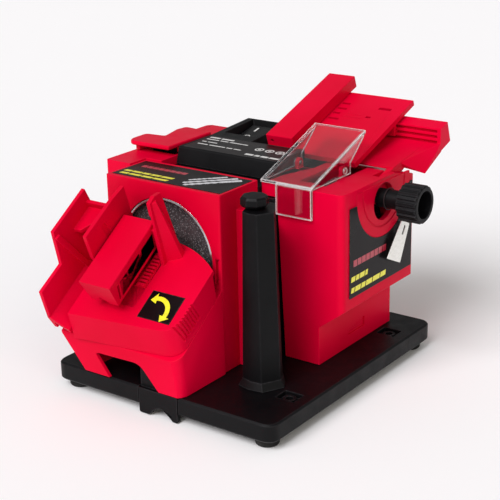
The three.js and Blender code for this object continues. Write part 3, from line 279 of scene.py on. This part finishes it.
def grinding_grit():
    """Dark bonded grit with glinting grains, loaded with grinding dust in patches."""
    grain_scale = 1900.0
    shader = Shader("abrasive", Specular_IOR_Level=0.5)
    grains = shader.cells(grain_scale, "Color")
    sparkle = shader.spread(grains, 0.72, 0.98)
    load = shader.spread(shader.noise(60.0, 4.0, 0.6), 0.4, 0.7)
    dull = shader.mix(load, colour(42, 36, 39), colour(72, 62, 65))
    shader.set("Base Color", shader.mix(sparkle, dull, colour(170, 166, 170)))
    shader.set("Metallic", shader.maths("MULTIPLY", sparkle, 0.6))
    shader.set("Roughness", shader.spread(sparkle, 0.0, 1.0, 0.92, 0.35))
    coarse = shader.bump(shader.cells(grain_scale), 0.2 * MM, 0.8)
    shader.bump(shader.noise(3200.0, 3.0), 0.1 * MM, 0.6, under=coarse)
    return shader.material


def turned_metal(name, bright, dark, low, high, stretch):
    """Machined metal: fine tool marks, cloudy roughness and bright edges."""
    shader = Shader(name, Metallic=1.0)
    marks = shader.noise(1300.0, 3.0, 0.6, shader.stretched(stretch))
    clouds = shader.noise(45.0, 4.0, 0.6)
    body = shader.mix(shader.spread(clouds, 0.35, 0.7), bright, dark)
    worn = shader.edges(0.6 * MM, broken=0.5)
    polished = colour(236, 236, 238)
    shader.set("Base Color", shader.mix(shader.maths("MULTIPLY", worn, 0.6), body, polished))
    shader.set("Roughness", shader.spread(shader.maths("ADD", marks, clouds), 0.7, 1.3, low, high))
    shader.bump(marks, 0.04 * MM, 0.35)
    return shader.material


# How turned_metal's tool marks are stretched: long along Z, or long along X.
ALONG_Z = (1.0, 1.0, 0.15)
ALONG_X = (0.3, 1.0, 1.0)
MATERIALS = {
    "red_plastic": moulded_red(),
    "black_plastic": moulded_black(),
    "black_rubber": soft_rubber(),
    "label_film": printed_film(),
    "tag_card": card(),
    "clear_plastic": clear_guard(),
    "abrasive": grinding_grit(),
    "steel": turned_metal(
        "steel", colour(208, 209, 212), colour(176, 177, 181), 0.2, 0.36, ALONG_Z
    ),
    "brass": turned_metal("brass", colour(201, 164, 84), colour(168, 130, 62), 0.25, 0.42, ALONG_Z),
    "motor_steel": turned_metal(
        "motor_steel", colour(128, 130, 134), colour(98, 100, 104), 0.4, 0.6, ALONG_X
    ),
}
INKS = {
    "yellow": ink("ink_yellow", colour(240, 232, 40), colour(208, 196, 40)),
    "dull_red": ink("ink_red", colour(178, 22, 52), colour(128, 22, 40)),
    "white": ink("ink_white", colour(226, 226, 224), colour(182, 180, 180)),
    "silver": ink("ink_silver", colour(214, 214, 218), colour(160, 158, 164)),
}
KNOB_BLACK = moulded_black("knob_plastic", grain=0.7, tone=8, roughness=0.46)
SWITCH_BLACK = moulded_black("switch_plastic", grain=0.15, tone=10, roughness=0.28)


# ---------------------------------------------------------------- CAD nodes: edges and materials

# Faces this close to flat are joined, and edges sharper than SHARP are rounded.
FLAT = math.radians(0.6)
SHARP = math.radians(28)
WELD_GAP = 0.01 * MM
SMALL_BEVEL = 0.25 * MM
FILM_BEVEL = 0.04 * MM
BEVELS = {"red_plastic": 0.42 * MM, "black_plastic": 0.36 * MM, "black_rubber": 0.4 * MM}
OWN_BEVELS = {
    "opening_ring": 0.15 * MM,
    "safety_guard": 0.3 * MM,
    "power_switch": 0.4 * MM,
    "release_lever": 0.2 * MM,
    "angle_knob": 0.15 * MM,
    "base_plate": 0.3 * MM,
    "drill_head": 0.18 * MM,
    "v_block": 0.1 * MM,
    "drill_clamp": 0.15 * MM,
    "guide_arm": 0.15 * MM,
    "guide_plate": 0.2 * MM,
    "hang_tag": 0.04 * MM,
    "cooling_fan": 0.12 * MM,
    "drive_bevel_gear": 0.05 * MM,
    "spindle_bevel_gear": 0.05 * MM,
    "drill_label": FILM_BEVEL,
    "chisel_label": FILM_BEVEL,
    "arrow_label": FILM_BEVEL,
    "rating_plate": FILM_BEVEL,
}


def finish_node(name, slot):
    """Rounds a CAD node's edges and gives it its material."""
    node = NODES[name]
    bpy.context.view_layer.objects.active = node
    node.select_set(True)
    bpy.ops.mesh.customdata_custom_splitnormals_clear()
    node.select_set(False)
    for face in node.data.polygons:
        face.use_smooth = True
    weld = node.modifiers.new("weld", "WELD")
    weld.merge_threshold = WELD_GAP
    planar = node.modifiers.new("planar", "DECIMATE")
    planar.decimate_type = "DISSOLVE"
    planar.angle_limit = FLAT
    bevel = node.modifiers.new("edges", "BEVEL")
    bevel.width = OWN_BEVELS.get(name, BEVELS.get(slot, SMALL_BEVEL))
    bevel.segments = 2
    bevel.limit_method = "ANGLE"
    bevel.angle_limit = SHARP
    bevel.use_clamp_overlap = False
    bevel.harden_normals = True
    bevel.miter_outer = "MITER_ARC"
    node.data.materials.clear()
    node.data.materials.append(MATERIALS[slot])


for part in frame["record"]["subparts"]:
    finish_node(part["node"], part["material_slot"])
NODES["angle_knob"].data.materials[0] = KNOB_BLACK
NODES["power_switch"].data.materials[0] = SWITCH_BLACK


# ---------------------------------------------------------------- printed graphics
# Outlines and their places on a label are in millimetres.

INK_DEPTH = 0.05 * MM


def printed(name, body, outlines, to_frame, material):
    """Thin closed plates with the given outlines, lying on the plane that to_frame gives."""
    corners = []
    faces = []
    for outline in outlines:
        first = len(corners)
        count = len(outline)
        for height in (0.0, INK_DEPTH):
            corners += [to_frame @ Vector((x * MM, y * MM, height)) for x, y in outline]
        faces.append([first + i for i in reversed(range(count))])
        faces.append([first + count + i for i in range(count)])
        for i in range(count):
            j = (i + 1) % count
            faces.append([first + i, first + j, first + count + j, first + count + i])
    mesh = bpy.data.meshes.new(name)
    mesh.from_pydata(corners, [], faces)
    mesh.update()
    mesh.materials.append(material)
    piece = bpy.data.objects.new(name, mesh)
    bpy.context.scene.collection.objects.link(piece)
    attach(piece, body)
    return piece


def bar(x0, x1, y0, y1, slant=0.0):
    """A stripe; slant leans its ends, as far as its top moves sideways."""
    return [(x0, y0), (x1, y0), (x1 + slant, y1), (x0 + slant, y1)]


def dashes(x, y, height, widths, gap=1.0, slant=0.8):
    """A row of slanted dashes."""
    row = []
    for width in widths:
        row.append(bar(x, x + width, y, y + height, slant))
        x += width + gap
    return row


def turned_outline(points, angle, centre):
    """The points turned about the origin and then moved."""
    c, s = math.cos(angle), math.sin(angle)
    return [(centre[0] + x * c - y * s, centre[1] + x * s + y * c) for x, y in points]


def on_circle(centre, radius, angle):
    return (centre[0] + radius * math.cos(angle), centre[1] + radius * math.sin(angle))


def disc(centre, radius, sides=20):
    return [on_circle(centre, radius, 2 * math.pi * i / sides) for i in range(sides)]


def ring(centre, outer, inner, sides=20):
    """A ring as a row of small four-sided outlines."""
    wide = disc(centre, outer, sides)
    narrow = disc(centre, inner, sides)
    around = [(i, (i + 1) % sides) for i in range(sides)]
    return [[wide[i], wide[j], narrow[j], narrow[i]] for i, j in around]


def arc_band(centre, inner, outer, start, end, steps=14):
    """A band along an arc, with an arrowhead at each end."""
    angles = [start + (end - start) * i / steps for i in range(steps + 1)]
    middle = (inner + outer) / 2
    flare = (outer - inner) * 0.75
    tip = 1.45 * (outer - inner) / middle
    outside = [on_circle(centre, outer, angle) for angle in angles]
    inside = [on_circle(centre, inner, angle) for angle in reversed(angles)]
    head_end = [
        on_circle(centre, outer + flare, end),
        on_circle(centre, middle, end + tip),
        on_circle(centre, inner - flare, end),
    ]
    head_start = [
        on_circle(centre, inner - flare, start),
        on_circle(centre, middle, start - tip),
        on_circle(centre, outer + flare, start),
    ]
    return outside + head_end + inside + head_start


def twist_bit(length, radius):
    """The outline of a twist drill pointing along +x, with a notched edge for its flutes."""
    half = length / 2
    flutes = 5
    pitch = length * 0.62 / flutes
    upper = []
    for i in range(flutes):
        x = half - radius - i * pitch
        upper += [(x, radius), (x - pitch * 0.45, radius * 0.55), (x - pitch * 0.8, radius)]
    shank = [(-half, radius), (-half, -radius)]
    lower = [(x, -y) for x, y in reversed(upper)]
    return [(half, 0.0)] + upper + shank + lower


def level(node):
    """The plane of a label's top face, with X and Y as in the shared frame."""
    return Matrix.Translation((0, 0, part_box(node)[1].z))


def print_drill_label():
    """Two rows of dashes, a row of squares and three twist drills."""
    low, high = (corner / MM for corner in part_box("drill_label"))
    plane = level("drill_label")
    rows = dashes(low.x + 2.5, low.y + 8.6, 3.0, (6, 8, 6.5, 8, 10), gap=1.1)
    rows += dashes(low.x + 3.5, low.y + 2.8, 3.0, (7, 10, 9, 12), gap=1.1)
    printed("drill_label_yellow", "base", rows, plane, INKS["yellow"])
    across = dashes(low.x + 7, high.y - 13.5, 4.2, (4.4,) * 8, gap=0.6, slant=0.0)
    printed("drill_label_red", "base", across, plane, INKS["dull_red"])
    bits = []
    for i, (length, radius) in enumerate(((40, 2.0), (38, 1.65), (27, 1.3))):
        centre = (high.x - 19.5 - 4.3 * i, low.y + 16.6 + 3.2 * i)
        bits.append(turned_outline(twist_bit(length, radius), math.radians(225), centre))
    printed("drill_label_bits", "base", bits, plane, INKS["silver"])


def print_rating_plate():
    """Lines of dashes, three ringed dots and a bar."""
    low, high = (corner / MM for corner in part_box("rating_plate"))
    plane = level("rating_plate")
    lines = dashes(low.x + 2, high.y - 5, 2.4, (9, 11), gap=1.4, slant=0.0)
    lines += dashes(low.x + 2.5, high.y - 9.6, 1.5, (11, 7, 16), gap=1.4, slant=0.0)
    lines += dashes(low.x + 3.5, high.y - 16.4, 1.4, (4, 8), gap=1.4, slant=0.0)
    lines += dashes(low.x + 4.5, high.y - 23.0, 1.5, (9, 14, 5, 6), gap=1.4, slant=0.0)
    printed("rating_lines", "base", lines, plane, INKS["white"])
    icons = []
    for column in range(3):
        centre = (high.x - 26 + 8.8 * column, high.y - 14)
        icons += ring(centre, 3.5, 2.4) + [disc(centre, 1.3, 12)]
    icons.append(bar(high.x - 4.4, high.x - 0.6, high.y - 17.4, high.y - 10.8))
    icons += dashes(high.x - 28, low.y + 4.0, 3.0, (7, 4, 6, 8), gap=1.2, slant=0.0)
    printed("rating_icons", "base", icons, plane, INKS["white"])


def print_chisel_label():
    """Two rows of dashes and a row of squares on the upright label."""
    low, high = (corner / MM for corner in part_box("chisel_label"))
    # X of the plane runs along +Y, Y of the plane runs up, and it faces +X.
    plane = Matrix.Translation((high.x * MM, 0, 0)) @ Matrix(
        ((0, 0, 1, 0), (1, 0, 0, 0), (0, 1, 0, 0), (0, 0, 0, 1))
    )
    rows = dashes(low.y + 1.4, low.z + 11.4, 3.6, (5, 4, 6, 3), gap=1.0)
    rows += dashes(low.y + 1.4, low.z + 3.6, 3.6, (4, 7, 5, 8, 9, 7), gap=1.0)
    printed("chisel_label_yellow", "base", rows, plane, INKS["yellow"])
    across = dashes(low.y + 4.5, low.z + 21.6, 4.6, (4.6,) * 8, gap=0.8, slant=0.0)
    printed("chisel_label_red", "base", across, plane, INKS["dull_red"])


FACE_SLOPE = math.radians(35)


def print_arrow_label():
    """A curved arrow with two heads on the drill head's sloping face."""
    low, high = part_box("arrow_label")
    middle = (low + high) / 2
    tilt = Euler((FACE_SLOPE, 0, 0)).to_matrix().to_4x4()
    up = tilt @ Vector((0, 0, 1))
    # The film's outer face: the farthest corner of the label along the face's own direction.
    film = NODES["arrow_label"].data.vertices
    height = max((v.co - middle).dot(up) for v in film)
    plane = Matrix.Translation(middle + up * height) @ tilt
    swing = arc_band((-3.9, -4.8), 9.0, 12.3, math.radians(-8), math.radians(104))
    printed("arrow_label_arrows", "drill_head", [swing], plane, INKS["yellow"])


def print_switch_marks():
    """A ring on the front half of the rocker and a bar on its back half."""
    low, high = (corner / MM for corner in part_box("power_switch"))
    points = [v.co / MM for v in NODES["power_switch"].data.vertices]

    def highest(y):
        return max((p for p in points if abs(p.y - y) < 2.5), key=lambda p: p.z)

    # The rocker's front edge, its middle and its back edge.
    top = [highest(y) for y in (low.y, low.y + 13.8, high.y)]
    left = low.x + 7.5
    for name, start, end, marks in (
        ("switch_off_mark", top[0], top[1], ring((left, 8.0), 2.6, 1.7)),
        ("switch_on_mark", top[1], top[2], [bar(left - 0.7, left + 0.7, 4.5, 10.5)]),
    ):
        slope = math.atan2(end.z - start.z, end.y - start.y)
        lean = Euler((slope, 0, 0)).to_matrix().to_4x4()
        plane = Matrix.Translation(Vector((0, start.y, start.z)) * MM) @ lean
        printed(name, "switch", marks, plane, INKS["white"])


print_drill_label()
print_rating_plate()
print_chisel_label()
print_arrow_label()
print_switch_marks()


# ---------------------------------------------------------------- floor, light and camera

FLOOR_SIZE = 60.0
FLOOR_Z = CAD_BOX[0].z - 0.1 * MM
FLOOR_TONE = (0.97, 0.97, 0.98, 1.0)
SKY_STRENGTH = 0.34

# The camera's place and its own axes.
LENS = 93.4
SENSOR_WIDTH = 36.0
CAMERA_PLACE = (0.5101, -0.6896, 0.3829)
CAMERA_RIGHT = (0.8093, 0.5871, -0.0201)
CAMERA_UP = (-0.1793, 0.2796, 0.9434)
CAMERA_BACK = (0.5594, -0.7598, 0.3315)


def make_floor():
    half = FLOOR_SIZE / 2
    mesh = bpy.data.meshes.new("floor")
    square = ((-half, -half), (half, -half), (half, half), (-half, half))
    corners = [(x, y, FLOOR_Z) for x, y in square]
    mesh.from_pydata(corners, [], [(0, 1, 2, 3)])
    floor = bpy.data.objects.new("floor", mesh)
    bpy.context.scene.collection.objects.link(floor)
    shader = Shader("floor_paint", Roughness=0.9, Specular_IOR_Level=0.1)
    shader.set("Base Color", FLOOR_TONE)
    mesh.materials.append(shader.material)


def sun(name, direction, tint, strength, angle):
    """A soft sun that shines along a direction; angle is how wide it looks, in degrees."""
    light = bpy.data.lights.new(name, "SUN")
    light.energy = strength
    light.color = tint
    light.angle = math.radians(angle)
    lamp = bpy.data.objects.new(name, light)
    lamp.rotation_mode = "QUATERNION"
    lamp.rotation_quaternion = Vector(direction).to_track_quat("-Z", "Y")
    bpy.context.scene.collection.objects.link(lamp)


def make_camera():
    data = bpy.data.cameras.new("camera")
    data.lens = LENS
    data.sensor_width = SENSOR_WIDTH
    camera = bpy.data.objects.new("camera", data)
    bpy.context.scene.collection.objects.link(camera)
    turn = Matrix((CAMERA_RIGHT, CAMERA_UP, CAMERA_BACK)).transposed().to_4x4()
    camera.matrix_world = Matrix.Translation(CAMERA_PLACE) @ turn
    bpy.context.scene.camera = camera


def make_sky():
    """The same pale light from every side."""
    world = bpy.data.worlds.new("studio")
    world.use_nodes = True
    background = world.node_tree.nodes["Background"]
    background.inputs["Color"].default_value = (1.0, 1.0, 1.0, 1.0)
    background.inputs["Strength"].default_value = SKY_STRENGTH
    bpy.context.scene.world = world


make_floor()
sun("key", (0.05, 0.85, -0.8), (1.0, 0.98, 1.0), 2.65, 40)
sun("side", (-0.85, 0.5, -0.4), (1.0, 0.92, 0.78), 0.68, 50)
make_sky()
make_camera()
bpy.context.scene.view_settings.view_transform = "Standard"
